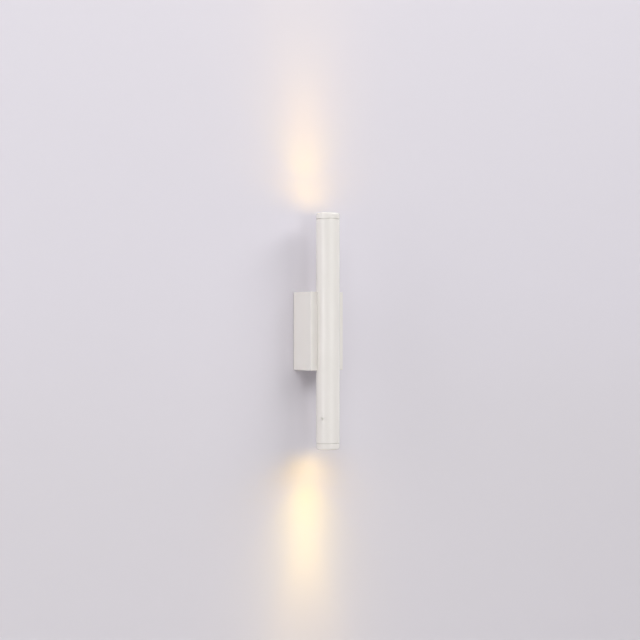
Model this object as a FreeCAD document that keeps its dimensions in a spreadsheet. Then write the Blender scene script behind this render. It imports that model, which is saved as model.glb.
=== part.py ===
"""Tube wall light: an upright round tube held in the half-round saddle of a wall box, lit at both ends.

Frame: the origin lies on the wall at the middle of the box, +Z runs up along the tube and +Y points into
the wall, so a distance out of the wall ("depth") is minus Y. Sizes are in millimetres.
"""
import FreeCAD, Part
import math
import os
import re

import Sketcher
from FreeCAD import Placement, Rotation, Vector

# Driving dimensions: name, value, meaning. Every name becomes an alias in the sheet.
SIZES = [
    ("tube_length", 300, "tube with both end rings"),
    ("tube_radius", 15, "outside of the tube"),
    ("tube_wall", 1.5, "wall of the tube"),
    ("axis_depth", 42, "tube axis to wall"),
    ("seam_chamfer", 0.6, "chamfers that make the groove between tube and ring"),
    ("ring_length", 8, "visible length of an end ring"),
    ("ring_round", 2.2, "rounding of a ring's outer end"),
    ("mouth_radius", 11, "light opening of a ring"),
    ("mouth_chamfer", 0.3, "chamfer of the light opening"),
    ("lip", 1.6, "thickness of metal in front of the lens"),
    ("thread_length", 6, "threaded spigot of a ring inside the tube"),
    ("thread_gap", 0.08, "radial clearance of the thread's plain stand-in"),
    ("pocket_radius", 12.3, "bore of a ring behind its lip"),
    ("key_radius", 0.7, "blind pin-key hole in a ring's face"),
    ("key_circle", 12.3, "distance of the pin-key holes from the tube axis"),
    ("key_sink", 1, "depth of the pin-key holes"),
    ("lens_gap", 0.1, "lens and gasket to pocket"),
    ("lens_thickness", 2, "frosted lens"),
    ("gasket_thickness", 1.2, "gasket behind the lens"),
    ("gasket_bore", 10.8, "opening of the gasket"),
    ("box_width", 50, "wall box, across"),
    ("box_height", 100, "wall box, up"),
    ("box_depth", 40, "front of the wall box from the wall"),
    ("box_wall", 2, "wall thickness of the box"),
    ("box_round", 0.8, "rounding of the box's outer edges"),
    ("wall_gap", 0.5, "shadow gap between the box's rim and the wall"),
    ("saddle_gap", 0.05, "tube to saddle"),
    ("sheet_metal", 1.5, "bracket sheet"),
    ("bracket_width", 44, "bracket, across"),
    ("bracket_height", 88, "flat of the bracket, up"),
    ("bracket_round", 3, "corners of the bracket"),
    ("tab_width", 16, "bent tabs of the bracket"),
    ("tab_height", 46, "outside of a tab from the middle of the bracket"),
    ("tab_reach", 14, "end of a tab from the wall"),
    ("tab_root", 4, "length of flat metal that a tab grows from"),
    ("bend_round", 2.5, "outside of the bend at a tab"),
    ("slot_spacing", 60, "wall screw slots, middle to middle"),
    ("slot_radius", 2.25, "half the width of a slot"),
    ("slot_length", 10, "slot, end to end"),
    ("entry_height", -15, "middle of the cable hole"),
    ("entry_radius", 7, "cable hole in the bracket"),
    ("bush_radius", 5, "bore of the cable bush"),
    ("bush_flange", 8.6, "flange radius of the cable bush"),
    ("bush_lip", 1.3, "flange thickness of the cable bush"),
    ("rubber_bevel", 0.4, "bevel of the rubber flanges"),
    ("earth_across", 15, "earth screw from the middle plane"),
    ("collar_radius", 3.4, "drawn collar around the earth thread"),
    ("collar_height", 1.5, "drawn collar above the sheet"),
    ("lug_radius", 4, "ring of the earth lug"),
    ("lug_plate", 0.8, "metal of the earth lug"),
    ("barrel_rise", 6.6, "crimp barrel above the earth screw"),
    ("barrel_radius", 1.9, "outside of the crimp barrel"),
    ("barrel_bore", 1.15, "bore of the crimp barrel"),
    ("barrel_length", 8, "crimp barrel, from the collar outwards"),
    ("star_radius", 3.6, "toothed washer"),
    ("star_plate", 0.6, "thickness of the toothed washer"),
    ("star_notch", 0.6, "radius of the notches between its teeth"),
    ("star_teeth", 8, "teeth of the toothed washer"),
    ("earth_tip", 0.3, "tip of the earth screw from the wall"),
    ("m4", 2, "thread radius of the larger screws"),
    ("m3", 1.5, "thread radius of the smaller screws"),
    ("fine_screw", 1.25, "thread radius of the LED board screws"),
    ("thread_ease", 0.02, "radial clearance of a screw in its thread's plain stand-in"),
    ("hole_ease", 0.25, "radial clearance of a screw in a plain hole"),
    ("tight_ease", 0.1, "radial clearance of a screw in a close hole"),
    ("m4_head", 3.8, "head radius of the larger screws"),
    ("m4_head_height", 2.4, "head height of the larger screws"),
    ("m3_head", 2.75, "head radius of the smaller screws"),
    ("m3_head_height", 2, "head height of the smaller screws"),
    ("screw_bevel", 0.5, "bevel of screw heads and tips"),
    ("socket_share", 0.45, "corner radius of a hexagon socket over the head radius"),
    ("socket_sink", 0.6, "depth of a hexagon socket over the head height"),
    ("tap_depth", 9, "tapped holes in the posts"),
    ("sink_cone", 1.3, "height of a countersunk head's cone"),
    ("sink_edge", 0.25, "straight edge of a countersunk head"),
    ("sink_ease", 0.15, "clearance around a countersunk head"),
    ("m3_length", 8, "smaller screws, below the seat or the face they are flush with"),
    ("cover_screw_depth", 9, "cover screws from the wall"),
    ("pad_rise", 1, "flat pads under the tube screws"),
    ("pad_radius", 5, "radius of those pads"),
    ("tube_screw_height", 18, "tube screws above and below the middle"),
    ("washer_thickness", 0.8, "tube washers"),
    ("washer_radius", 4.4, "tube washers"),
    ("tube_screw_length", 10, "tube screws below the head"),
    ("bar_chord", 6, "flat of the tube bar, behind the tube axis"),
    ("bar_half", 28, "half the length of the tube bar"),
    ("bar_gap", 0.05, "tube bar to the bore"),
    ("grommet_height", 34, "lead grommet above the middle"),
    ("grommet_hole", 4, "holes that hold the grommet"),
    ("grommet_bore", 2.7, "bore of the grommet"),
    ("grommet_flange", 5.4, "flange radius of the grommet"),
    ("grommet_lip", 1.2, "flange thickness of the grommet"),
    ("grommet_tail", 0.7, "grommet standing into the tube"),
    ("driver_half", 15.5, "half the width of the driver"),
    ("driver_low", -3, "lower end of the driver"),
    ("driver_high", 40, "upper end of the driver"),
    ("driver_back", 5, "driver's lid from the wall"),
    ("driver_front", 19.5, "driver's front from the wall"),
    ("driver_wall", 1.2, "walls and lid of the driver"),
    ("board_front", 16.8, "solder side of the driver board from the wall"),
    ("board_thickness", 1.2, "driver board"),
    ("board_inset", 0.4, "driver board to the walls of its case"),
    ("case_round", 1, "corners of the driver"),
    ("rim_gap", 0.15, "lid rim to the walls of the case"),
    ("rim_width", 1, "lid rim"),
    ("post_across", 12, "board posts from the middle plane"),
    ("post_inset", 3.5, "board posts from the ends of the driver"),
    ("post_radius", 1.5, "board posts"),
    ("outlet_radius", 3, "outlet of the LED leads in the driver"),
    ("can_radius", 3.2, "electrolytic capacitors"),
    ("ear_across", 19.5, "fixing ears of the driver from the middle plane"),
    ("ear_half", 3.5, "half the width of an ear, and the radius of the bosses"),
    ("ear_thickness", 2, "fixing ears"),
    ("ear_margin", 3, "ear beyond its screw"),
    ("left_ear_height", 8, "left ear"),
    ("right_ear_height", 29, "right ear"),
    ("block_half", 12.5, "half the width of the terminal block"),
    ("block_low", -40.5, "lower side of the terminal block"),
    ("block_high", -24.5, "upper side of the terminal block"),
    ("block_back", 8, "screw side of the terminal block from the wall"),
    ("block_front", 21, "seat of the terminal block from the wall"),
    ("block_ear_across", 15.5, "fixing ears of the terminal block"),
    ("block_ear_half", 3.2, "half the width of such an ear, and the radius of its post"),
    ("block_ear_thickness", 3, "such an ear"),
    ("pole_half", 3.4, "half the width of a raised pole"),
    ("well_radius", 1.8, "screw wells of the block"),
    ("clamp_shift", 3, "clamp screws from the middle of the block"),
    ("clamp_inset", 2, "ends of a clamp inside the block"),
    ("clamp_gap", 0.05, "clamp to block"),
    ("pin_sink", 0.8, "clamp screws below the face of the block, and depth of their slots"),
    ("pin_slot", 0.3, "half the width of their slots"),
    ("pole_pitch", 8, "terminal poles, middle to middle"),
    ("clamp_depth", 14.5, "axis of the terminal clamps from the wall"),
    ("clamp_radius", 2.6, "outside of a terminal clamp"),
    ("clamp_bore", 1.5, "bore of a terminal clamp"),
    ("pin_radius", 1.4, "clamp screws"),
    ("mains_lead", 0.9, "radius of the live and neutral leads"),
    ("earth_wire", 1.1, "radius of the earth lead"),
    ("led_lead", 0.75, "radius of the LED leads"),
    ("lead_offset", 1, "each LED lead from the middle of its bundle"),
    ("lead_reach", 11.2, "upright run of the LED leads in front of the tube axis"),
    ("lead_landing", 3.2, "last run of an LED lead, flat on its board"),
    ("lead_exit", 4.5, "straight run of a supply lead before its first bend"),
    ("clamp_bite", 2.5, "length of lead inside the block"),
    ("driver_bite", 5, "length of lead inside the driver"),
    ("sink_top", 22, "outer face of a heat sink below the end of the lamp"),
    ("sink_length", 22, "heat sink"),
    ("sink_gap", 0.1, "heat sink to the bore"),
    ("sink_bevel", 0.5, "edges of a heat sink"),
    ("channel_half", 2.2, "half the width of the channel for the leads"),
    ("channel_floor", 9, "floor of that channel from the tube axis"),
    ("thermal_pad", 0.5, "pad under the LED board"),
    ("led_board", 1.6, "LED board thickness"),
    ("led_board_radius", 12.6, "LED board"),
    ("chip_radius", 5, "LED chip carrier"),
    ("chip_thickness", 1, "LED chip carrier"),
    ("glow_radius", 3.6, "yellow face of the LED chip"),
    ("glow_rise", 0.4, "yellow face above its carrier"),
    ("fixing_circle", 9.6, "LED board screws from the tube axis"),
    ("fixing_length", 6, "LED board screws below their heads"),
    ("fixing_head", 2.1, "head radius of the LED board screws"),
    ("fixing_head_height", 1.5, "head height of the LED board screws"),
    ("reflector_foot", 6, "inner radius of the reflector at the board"),
    ("reflector_skin", 1.2, "wall of the reflector"),
    ("reflector_edge", 1.2, "straight foot and straight rim of the reflector"),
    ("glass_bevel", 0.3, "edges of the lens"),
    ("grub_height", 110.5, "grub screws above and below the middle"),
    ("grub_angle", 64, "grub screws from the front, in degrees"),
    ("grub_inner", 9, "inner end of a grub screw from the tube axis"),
    ("grub_sink", 0.3, "grub screw below the tube's surface"),
    ("grub_socket", 1.15, "corner radius of the grub socket"),
    ("grub_socket_sink", 1.5, "depth of the grub socket"),
    ("grub_ease", 0.05, "grub screw to the tube's hole"),
]

PARTS_FOLDER = "parts"
SHEET_NAME = "Sizes"
SHEET_WORD = re.compile(r"\b(" + "|".join(name for name, _, _ in SIZES) + r")\b")
UPRIGHT = Vector(0, 0, 1)
ON_AXIS = ("0", "-axis_depth", "0")
ENDS = (("upper", 1), ("lower", -1))

doc = FreeCAD.newDocument("tube_wall_light")
sheet = doc.addObject("Spreadsheet::Sheet", SHEET_NAME)
for row, (name, number, meaning) in enumerate(SIZES, start=1):
    sheet.set("A%d" % row, meaning)
    sheet.set("B%d" % row, str(number))
    sheet.setAlias("B%d" % row, name)
doc.recompute()

nodes = []


# ---------------------------------------------------------------- formulas and sketches

def formula(text):
    """The text with each size name written as a reference to the sheet."""
    return SHEET_WORD.sub(lambda word: SHEET_NAME + "." + word.group(0), text)


def value(text):
    """What a formula comes to."""
    return float(sheet.evalExpression(formula(text)))


def point(across, up):
    return Vector(value(across), value(up), 0)


def bind(thing, prop, text):
    thing.setExpression(prop, formula(text))


def new_body(label, place=("0", "0", "0")):
    """An empty body with its origin at place."""
    body = doc.addObject("PartDesign::Body", label)
    body.Label = label
    for axis, text in zip("xyz", place):
        bind(body, "Placement.Base." + axis, text)
    nodes.append(body)
    return body


def new_sketch(body, plane, level="0"):
    """An empty sketch on an origin plane of the body, moved to level along the plane's normal.

    The normal of XY_Plane is +Z, and that of XZ_Plane is -Y, so its level is a depth out of the wall.
    """
    sketch = body.newObject("Sketcher::SketchObject", body.Label + "_sketch")
    origin_plane = next(item for item in body.Origin.OriginFeatures if item.Role == plane)
    sketch.AttachmentSupport = [(origin_plane, "")]
    sketch.MapMode = "FlatFace"
    bind(sketch, "AttachmentOffset.Base.z", level)
    return sketch


def hold(sketch, shape, end, across, up):
    """Two dimensions that hold one point of a sketch."""
    for kind, text in (("DistanceX", across), ("DistanceY", up)):
        index = sketch.addConstraint(Sketcher.Constraint(kind, -1, 1, shape, end, value(text)))
        bind(sketch, "Constraints[%d]" % index, text)


def polygon(sketch, corners):
    """A closed outline of straight sides; each corner is a pair of formulas."""
    first = sketch.GeometryCount
    count = len(corners)
    spots = [point(*corner) for corner in corners]
    sides = [Part.LineSegment(spots[i - 1], spots[i]) for i in range(count)]
    sketch.addGeometry(sides, False)
    for i, (across, up) in enumerate(corners):
        following = first + (i + 1) % count
        sketch.addConstraint(Sketcher.Constraint("Coincident", first + i, 2, following, 1))
        hold(sketch, first + i, 2, across, up)


def rectangle(sketch, left, right, low, high):
    polygon(sketch, [(left, low), (right, low), (right, high), (left, high)])


def circle(sketch, across, up, radius):
    shape = sketch.addGeometry(Part.Circle(point(across, up), UPRIGHT, value(radius)), False)
    hold(sketch, shape, 3, across, up)
    index = sketch.addConstraint(Sketcher.Constraint("Radius", shape, value(radius)))
    bind(sketch, "Constraints[%d]" % index, radius)


def hexagon(sketch, across, up, radius):
    """A hexagon socket, radius from its middle to a corner."""
    corners = []
    for i in range(6):
        shift_x = "%s * cos(%d deg)" % (radius, 60 * i)
        shift_y = "%s * sin(%d deg)" % (radius, 60 * i)
        corners.append(("(%s) + %s" % (across, shift_x), "(%s) + %s" % (up, shift_y)))
    polygon(sketch, corners)


# ---------------------------------------------------------------- features

def volume_of(body):
    doc.recompute()
    return body.Shape.Volume


def pad(body, sketch, length, symmetric=False):
    feature = body.newObject("PartDesign::Pad", body.Label + "_pad")
    feature.Profile = sketch
    if symmetric:
        feature.SideType = "Symmetric"
    bind(feature, "Length", length)


def cut(body, kind, sketch, set_up):
    """A Pocket or Groove, which has to take something away."""
    before = volume_of(body)
    feature = body.newObject("PartDesign::" + kind, body.Label + "_" + kind.lower())
    feature.Profile = sketch
    set_up(feature)
    if not volume_of(body) < before - 1e-6:
        raise RuntimeError("nothing cut from " + body.Label)


def pocket(body, sketch, length, symmetric=False):
    """Cut along the normal of the sketch's plane, or both ways."""
    def set_up(feature):
        feature.Reversed = True
        if symmetric:
            feature.SideType = "Symmetric"
        bind(feature, "Length", length)
    cut(body, "Pocket", sketch, set_up)


def spin(body, plane, level, across, corners, hollow=False):
    """Turn an outline about an upright line of its sketch.

    The line stands at across; each corner gives a radius from it and a height.
    """
    sketch = new_sketch(body, plane, level)
    shape = sketch.addGeometry(Part.LineSegment(point(across, "-1"), point(across, "1")), True)
    hold(sketch, shape, 1, across, "-1")
    hold(sketch, shape, 2, across, "1")
    polygon(sketch, [("(%s) + %s" % (across, radius), height) for radius, height in corners])

    def set_up(feature):
        feature.ReferenceAxis = (sketch, ["Axis0"])
        feature.Angle = 360
    if hollow:
        cut(body, "Groove", sketch, set_up)
        return
    feature = body.newObject("PartDesign::Revolution", body.Label + "_turned")
    feature.Profile = sketch
    set_up(feature)


def round_edges(body, radius, chosen, kind="Fillet"):
    """Round or chamfer the edges for which chosen is true."""
    doc.recompute()
    base = body.Tip
    names = ["Edge%d" % i for i, edge in enumerate(base.Shape.Edges, start=1) if chosen(edge)]
    if not names:
        raise RuntimeError("no edge to round on " + body.Label)
    feature = body.newObject("PartDesign::" + kind, body.Label + "_" + kind.lower())
    feature.Base = (base, names)
    bind(feature, "Radius" if kind == "Fillet" else "Size", radius)


def turned(label, corners, place=ON_AXIS):
    """A body turned about the upright line through place."""
    body = new_body(label, place)
    spin(body, "XZ_Plane", "0", "0", corners)
    return body


def outward(side, text):
    """A height measured along the tube, upwards for side 1 and downwards for side -1."""
    return "%d * (%s)" % (side, text)


def mirrored(side, corners):
    """Turned outlines use heights from the lamp's middle; side -1 turns them over."""
    return [(radius, outward(side, height)) for radius, height in corners]


# ---------------------------------------------------------------- screws

def depth_screw(body, across, up, seat, length, size):
    """A pan-head screw whose head stands on seat, towards the wall, and whose shank runs away from it."""
    shank = "(%s - thread_ease)" % size
    head, head_back = size + "_head", "(%s - %s_head_height)" % (seat, size)
    tip = "(%s + %s)" % (seat, length)
    spin(body, "XY_Plane", up, across, [
        ("0", "-" + head_back), (head + " - screw_bevel", "-" + head_back),
        (head, "-(%s + screw_bevel)" % head_back), (head, "-(%s)" % seat), (shank, "-(%s)" % seat),
        (shank, "-(%s - screw_bevel)" % tip), (shank + " - screw_bevel", "-" + tip), ("0", "-" + tip)])
    socket = new_sketch(body, "XZ_Plane", head_back)
    hexagon(socket, across, up, "%s * socket_share" % head)
    pocket(body, socket, "%s_height * socket_sink" % head)


def socket_along(body, side, across, depth, top, radius, sink):
    """A hexagon socket in a screw head that faces the lamp's end."""
    low = "%s - (%s)" % (top, sink) if side > 0 else "-(%s)" % top
    socket = new_sketch(body, "XY_Plane", low)
    hexagon(socket, across, "-(%s)" % depth, radius)
    pocket(body, socket, sink)


# ---------------------------------------------------------------- wall bracket and earth

def wall_bracket():
    """Sheet plate against the wall, with a tab bent out at each end for the cover screws."""
    body = new_body("wall_bracket")
    plate = new_sketch(body, "XZ_Plane")
    rectangle(plate, "-bracket_width / 2", "bracket_width / 2", "-bracket_height / 2", "bracket_height / 2")
    pad(body, plate, "sheet_metal")
    round_edges(body, "bracket_round", lambda edge: abs(edge.tangentAt(edge.FirstParameter).y) > 0.9)
    for side in (1, -1):
        root = new_sketch(body, "XZ_Plane")
        rectangle(root, "-tab_width / 2", "tab_width / 2",
                  outward(side, "tab_height - tab_root"), outward(side, "tab_height"))
        pad(body, root, "sheet_metal")
        tab = new_sketch(body, "XZ_Plane")
        rectangle(tab, "-tab_width / 2", "tab_width / 2",
                  outward(side, "tab_height - sheet_metal"), outward(side, "tab_height"))
        pad(body, tab, "tab_reach")
    tip = value("tab_height")
    round_edges(body, "bend_round", lambda edge: abs(edge.BoundBox.YMax) < 0.01
                and edge.BoundBox.YLength < 0.01 and abs(abs(edge.CenterOfMass.z) - tip) < 0.01)
    collar = new_sketch(body, "XZ_Plane")
    circle(collar, "earth_across", "entry_height", "collar_radius")
    pad(body, collar, "sheet_metal + collar_height")
    holes = new_sketch(body, "XZ_Plane")
    circle(holes, "0", "entry_height", "entry_radius")
    circle(holes, "earth_across", "entry_height", "m4")
    pocket(body, holes, "sheet_metal + collar_height")
    for side in (1, -1):
        slot = new_sketch(body, "XZ_Plane")
        upright_slot(slot, outward(side, "slot_spacing / 2"))
        pocket(body, slot, "sheet_metal")
    threads = new_sketch(body, "XY_Plane")
    circle(threads, "0", "-cover_screw_depth", "m3")
    pocket(body, threads, "3 * tab_height", symmetric=True)


def upright_slot(sketch, up):
    """An upright slot with round ends, its middle at up on the middle plane."""
    half_run = "(slot_length / 2 - slot_radius)"
    top, bottom = up + " + " + half_run, up + " - " + half_run
    reach = value("slot_radius")
    upper = sketch.addGeometry(Part.ArcOfCircle(
        Part.Circle(point("0", top), UPRIGHT, reach), 0, math.pi), False)
    lower = sketch.addGeometry(Part.ArcOfCircle(
        Part.Circle(point("0", bottom), UPRIGHT, reach), math.pi, 2 * math.pi), False)
    left = sketch.addGeometry(Part.LineSegment(
        point("-slot_radius", top), point("-slot_radius", bottom)), False)
    right = sketch.addGeometry(Part.LineSegment(
        point("slot_radius", bottom), point("slot_radius", top)), False)
    for one, one_end, other, other_end in ((upper, 2, left, 1), (left, 2, lower, 1),
                                           (lower, 2, right, 1), (right, 2, upper, 1)):
        sketch.addConstraint(Sketcher.Constraint("Tangent", one, one_end, other, other_end))
    hold(sketch, upper, 3, "0", top)
    hold(sketch, lower, 3, "0", bottom)
    index = sketch.addConstraint(Sketcher.Constraint("Radius", upper, reach))
    bind(sketch, "Constraints[%d]" % index, "slot_radius")


def cable_bush():
    """Rubber bush that lines the bracket's cable hole, its flange inside the box."""
    flange_front = "-(sheet_metal + bush_lip)"
    body = new_body("cable_bush")
    spin(body, "XY_Plane", "entry_height", "0", [
        ("bush_radius", "0"), ("entry_radius", "0"), ("entry_radius", "-sheet_metal"),
        ("bush_flange", "-sheet_metal"), ("bush_flange", flange_front + " + rubber_bevel"),
        ("bush_flange - rubber_bevel", flange_front), ("bush_radius", flange_front)])


EARTH_SEAT = "sheet_metal + collar_height"
WASHER_SEAT = EARTH_SEAT + " + lug_plate"
BARREL_HEIGHT = "entry_height + barrel_rise"


def earth_lug():
    """Ring lug on the collar; its tongue carries a crimp barrel that points out of the wall."""
    body = new_body("earth_lug")
    ring = new_sketch(body, "XZ_Plane", EARTH_SEAT)
    circle(ring, "earth_across", "entry_height", "lug_radius")
    pad(body, ring, "lug_plate")
    tongue = new_sketch(body, "XZ_Plane", EARTH_SEAT)
    rectangle(tongue, "earth_across - barrel_radius", "earth_across + barrel_radius",
              "entry_height + lug_radius / 2", BARREL_HEIGHT)
    pad(body, tongue, "lug_plate")
    barrel = new_sketch(body, "XZ_Plane", EARTH_SEAT)
    circle(barrel, "earth_across", BARREL_HEIGHT, "barrel_radius")
    pad(body, barrel, "barrel_length")
    hole = new_sketch(body, "XZ_Plane", EARTH_SEAT)
    circle(hole, "earth_across", "entry_height", "m4 + tight_ease")
    pocket(body, hole, "lug_plate")
    mouth = new_sketch(body, "XZ_Plane", EARTH_SEAT + " + barrel_length / 4")
    circle(mouth, "earth_across", BARREL_HEIGHT, "barrel_bore")
    pocket(body, mouth, "barrel_length")


def earth_washer():
    """Toothed washer between the lug and the screw head."""
    body = new_body("earth_washer")
    disc = new_sketch(body, "XZ_Plane", WASHER_SEAT)
    circle(disc, "earth_across", "entry_height", "star_radius")
    circle(disc, "earth_across", "entry_height", "m4 + tight_ease")
    pad(body, disc, "star_plate")
    teeth = round(value("star_teeth"))
    for tooth in range(teeth):
        turn = "(%d * 360 deg / star_teeth)" % tooth
        notch = new_sketch(body, "XZ_Plane", WASHER_SEAT)
        circle(notch, "earth_across + star_radius * cos" + turn,
               "entry_height + star_radius * sin" + turn, "star_notch")
        pocket(body, notch, "star_plate")


def earth_screw():
    """Cross-slotted screw through washer and lug; its tip stays inside the bracket."""
    seat = WASHER_SEAT + " + star_plate"
    head_front = "(%s + m4_head_height)" % seat
    shank = "(m4 - thread_ease)"
    body = new_body("earth_screw")
    spin(body, "XY_Plane", "entry_height", "earth_across", [
        ("0", "-earth_tip"), (shank + " - screw_bevel", "-earth_tip"),
        (shank, "-(earth_tip + screw_bevel)"), (shank, "-(%s)" % seat), ("m4_head", "-(%s)" % seat),
        ("m4_head", "-(%s - screw_bevel)" % head_front),
        ("m4_head - screw_bevel", "-" + head_front), ("0", "-" + head_front)])
    long_half, short_half = "m4_head * 0.65", "m4_head * 0.13"
    for half_across, half_up in ((long_half, short_half), (short_half, long_half)):
        slot = new_sketch(body, "XZ_Plane", head_front + " - m4_head_height / 2")
        rectangle(slot, "earth_across - " + half_across, "earth_across + " + half_across,
                  "entry_height - " + half_up, "entry_height + " + half_up)
        pocket(body, slot, "m4_head_height / 2")


# ---------------------------------------------------------------- wall box

def base_housing():
    """Box open towards the wall, with a half-round saddle down its front, bosses and screw holes."""
    body = new_body("base_housing")
    block = new_sketch(body, "XZ_Plane", "wall_gap")
    rectangle(block, "-box_width / 2", "box_width / 2", "-box_height / 2", "box_height / 2")
    pad(body, block, "box_depth - wall_gap")
    rim = -value("wall_gap")
    round_edges(body, "box_round", lambda edge: edge.BoundBox.YMax < rim - 0.01 or edge.BoundBox.YLength > 1)
    hollow = new_sketch(body, "XZ_Plane", "wall_gap")
    rectangle(hollow, "-(box_width / 2 - box_wall)", "box_width / 2 - box_wall",
              "-(box_height / 2 - box_wall)", "box_height / 2 - box_wall")
    pocket(body, hollow, "box_depth - wall_gap - box_wall")
    saddle = new_sketch(body, "XY_Plane")
    half_round(saddle, "tube_radius + box_wall", "box_depth - box_wall / 2")
    pad(body, saddle, "box_height - box_wall", symmetric=True)
    bosses(body)
    groove = new_sketch(body, "XY_Plane")
    circle(groove, "0", "-axis_depth", "tube_radius + saddle_gap")
    pocket(body, groove, "box_height + 10", symmetric=True)
    housing_holes(body)


def half_round(sketch, radius, depth):
    """The wall side of a circle about the tube axis, cut off by a straight line at depth."""
    rise = value("axis_depth - (%s)" % depth)
    reach = value(radius)
    start = math.asin(rise / reach)
    middle = point("0", "-axis_depth")
    arc = Part.ArcOfCircle(Part.Circle(middle, UPRIGHT, reach), start, math.pi - start)
    curve = sketch.addGeometry(arc, False)
    chord = sketch.addGeometry(Part.LineSegment(arc.EndPoint, arc.StartPoint), False)
    sketch.addConstraint(Sketcher.Constraint("Coincident", curve, 2, chord, 1))
    sketch.addConstraint(Sketcher.Constraint("Coincident", chord, 2, curve, 1))
    sketch.addConstraint(Sketcher.Constraint("Horizontal", chord))
    hold(sketch, curve, 3, "0", "-axis_depth")
    index = sketch.addConstraint(Sketcher.Constraint("Radius", curve, reach))
    bind(sketch, "Constraints[%d]" % index, radius)
    index = sketch.addConstraint(Sketcher.Constraint("DistanceY", -1, 1, chord, 1, value("-(%s)" % depth)))
    bind(sketch, "Constraints[%d]" % index, "-(%s)" % depth)


BOX_FACE = "box_height / 2"
SADDLE_SEAT = "(axis_depth - tube_radius - box_wall - pad_rise)"
DRIVER_EARS = (("-ear_across", "left_ear_height"), ("ear_across", "right_ear_height"))
BLOCK_MIDDLE = "(block_low + block_high) / 2"
BLOCK_EARS = (("-block_ear_across", BLOCK_MIDDLE), ("block_ear_across", BLOCK_MIDDLE))
TUBE_SCREWS = ("tube_screw_height", "-tube_screw_height")


def bosses(body):
    """Posts for the driver and the terminal block, and flat pads under the tube screws."""
    front = "box_depth - box_wall / 2"
    posts = [(across, up, "driver_front", "ear_half") for across, up in DRIVER_EARS]
    posts += [(across, up, "block_front", "block_ear_half") for across, up in BLOCK_EARS]
    for across, up, back, radius in posts:
        post = new_sketch(body, "XZ_Plane", back)
        circle(post, across, up, radius)
        pad(body, post, "%s - %s" % (front, back))
    for up in TUBE_SCREWS:
        seat = new_sketch(body, "XZ_Plane", SADDLE_SEAT)
        circle(seat, "0", up, "pad_radius")
        pad(body, seat, "box_wall + pad_rise")


def housing_holes(body):
    """Tapped blind holes in the posts, holes through the saddle, countersinks for the cover screws."""
    for ears, back in ((DRIVER_EARS, "driver_front"), (BLOCK_EARS, "block_front")):
        taps = new_sketch(body, "XZ_Plane", back)
        for across, up in ears:
            circle(taps, across, up, "m3")
        pocket(body, taps, "tap_depth")
    through = new_sketch(body, "XZ_Plane", SADDLE_SEAT)
    for up in TUBE_SCREWS:
        circle(through, "0", up, "m4 + hole_ease")
    circle(through, "0", "grommet_height", "grommet_hole")
    pocket(body, through, "box_wall + 2 * pad_rise")
    for side in (1, -1):
        spin(body, "XZ_Plane", "cover_screw_depth", "0", mirrored(side, [
            ("0", BOX_FACE + " + 1"), ("m3_head + sink_ease", BOX_FACE + " + 1"),
            ("m3_head + sink_ease", BOX_FACE + " - sink_edge"),
            ("m3 + tight_ease", BOX_FACE + " - sink_edge - sink_cone"),
            ("m3 + tight_ease", BOX_FACE + " - 2 * box_wall"),
            ("0", BOX_FACE + " - 2 * box_wall")]), hollow=True)


def cover_screws():
    """Countersunk screws through the box's ends into the bracket's tabs."""
    body = new_body("cover_screws")
    shank, tip = "(m3 - thread_ease)", BOX_FACE + " - m3_length"
    for side in (1, -1):
        spin(body, "XZ_Plane", "cover_screw_depth", "0", mirrored(side, [
            ("0", BOX_FACE), ("m3_head", BOX_FACE), ("m3_head", BOX_FACE + " - sink_edge"),
            (shank, BOX_FACE + " - sink_edge - sink_cone"), (shank, tip + " + screw_bevel"),
            (shank + " - screw_bevel", tip), ("0", tip)]))
        socket_along(body, side, "0", "cover_screw_depth", BOX_FACE, "m3_head * socket_share", "sink_cone")


# ---------------------------------------------------------------- supply terminal

POLES = ("-pole_pitch", "0", "pole_pitch")
CLAMP_PLACES = [(across, BLOCK_MIDDLE + shift) for across in POLES
                for shift in (" - clamp_shift", " + clamp_shift")]


def terminal_block():
    """Moulded block with three raised poles, bores for the clamps, screw wells and two fixing ears."""
    body = new_body("terminal_block")
    base = new_sketch(body, "XZ_Plane", "clamp_depth")
    rectangle(base, "-block_half", "block_half", "block_low", "block_high")
    pad(body, base, "block_front - clamp_depth")
    for across in POLES:
        pole = new_sketch(body, "XZ_Plane", "block_back")
        rectangle(pole, across + " - pole_half", across + " + pole_half", "block_low", "block_high")
        pad(body, pole, "clamp_depth - block_back + 1")
    for sign in ("-", ""):
        ear = new_sketch(body, "XZ_Plane", "block_front - block_ear_thickness")
        rectangle(ear, sign + "(block_half - 1)", sign + "(block_ear_across + block_ear_half)",
                  BLOCK_MIDDLE + " - block_ear_half", BLOCK_MIDDLE + " + block_ear_half")
        pad(body, ear, "block_ear_thickness")
    fixing = new_sketch(body, "XZ_Plane", "block_front - block_ear_thickness")
    for across, up in BLOCK_EARS:
        circle(fixing, across, up, "m3 + tight_ease")
    pocket(body, fixing, "block_ear_thickness")
    bores = new_sketch(body, "XY_Plane", "block_low")
    for across in POLES:
        circle(bores, across, "-clamp_depth", "clamp_radius + clamp_gap")
    pocket(body, bores, "block_high - block_low")
    wells = new_sketch(body, "XZ_Plane", "block_back")
    for across, up in CLAMP_PLACES:
        circle(wells, across, up, "well_radius")
    pocket(body, wells, "clamp_depth - clamp_bore - block_back")


def terminal_clamps():
    """Brass tubes inside the block, each tapped twice through its wall side."""
    body = new_body("terminal_clamps")
    for across in POLES:
        ring = new_sketch(body, "XY_Plane", "block_low + clamp_inset")
        circle(ring, across, "-clamp_depth", "clamp_radius")
        circle(ring, across, "-clamp_depth", "clamp_bore")
        pad(body, ring, "block_high - block_low - 2 * clamp_inset")
    taps = new_sketch(body, "XZ_Plane", "block_back")
    for across, up in CLAMP_PLACES:
        circle(taps, across, up, "pin_radius")
    pocket(body, taps, "clamp_depth - block_back")


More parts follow.
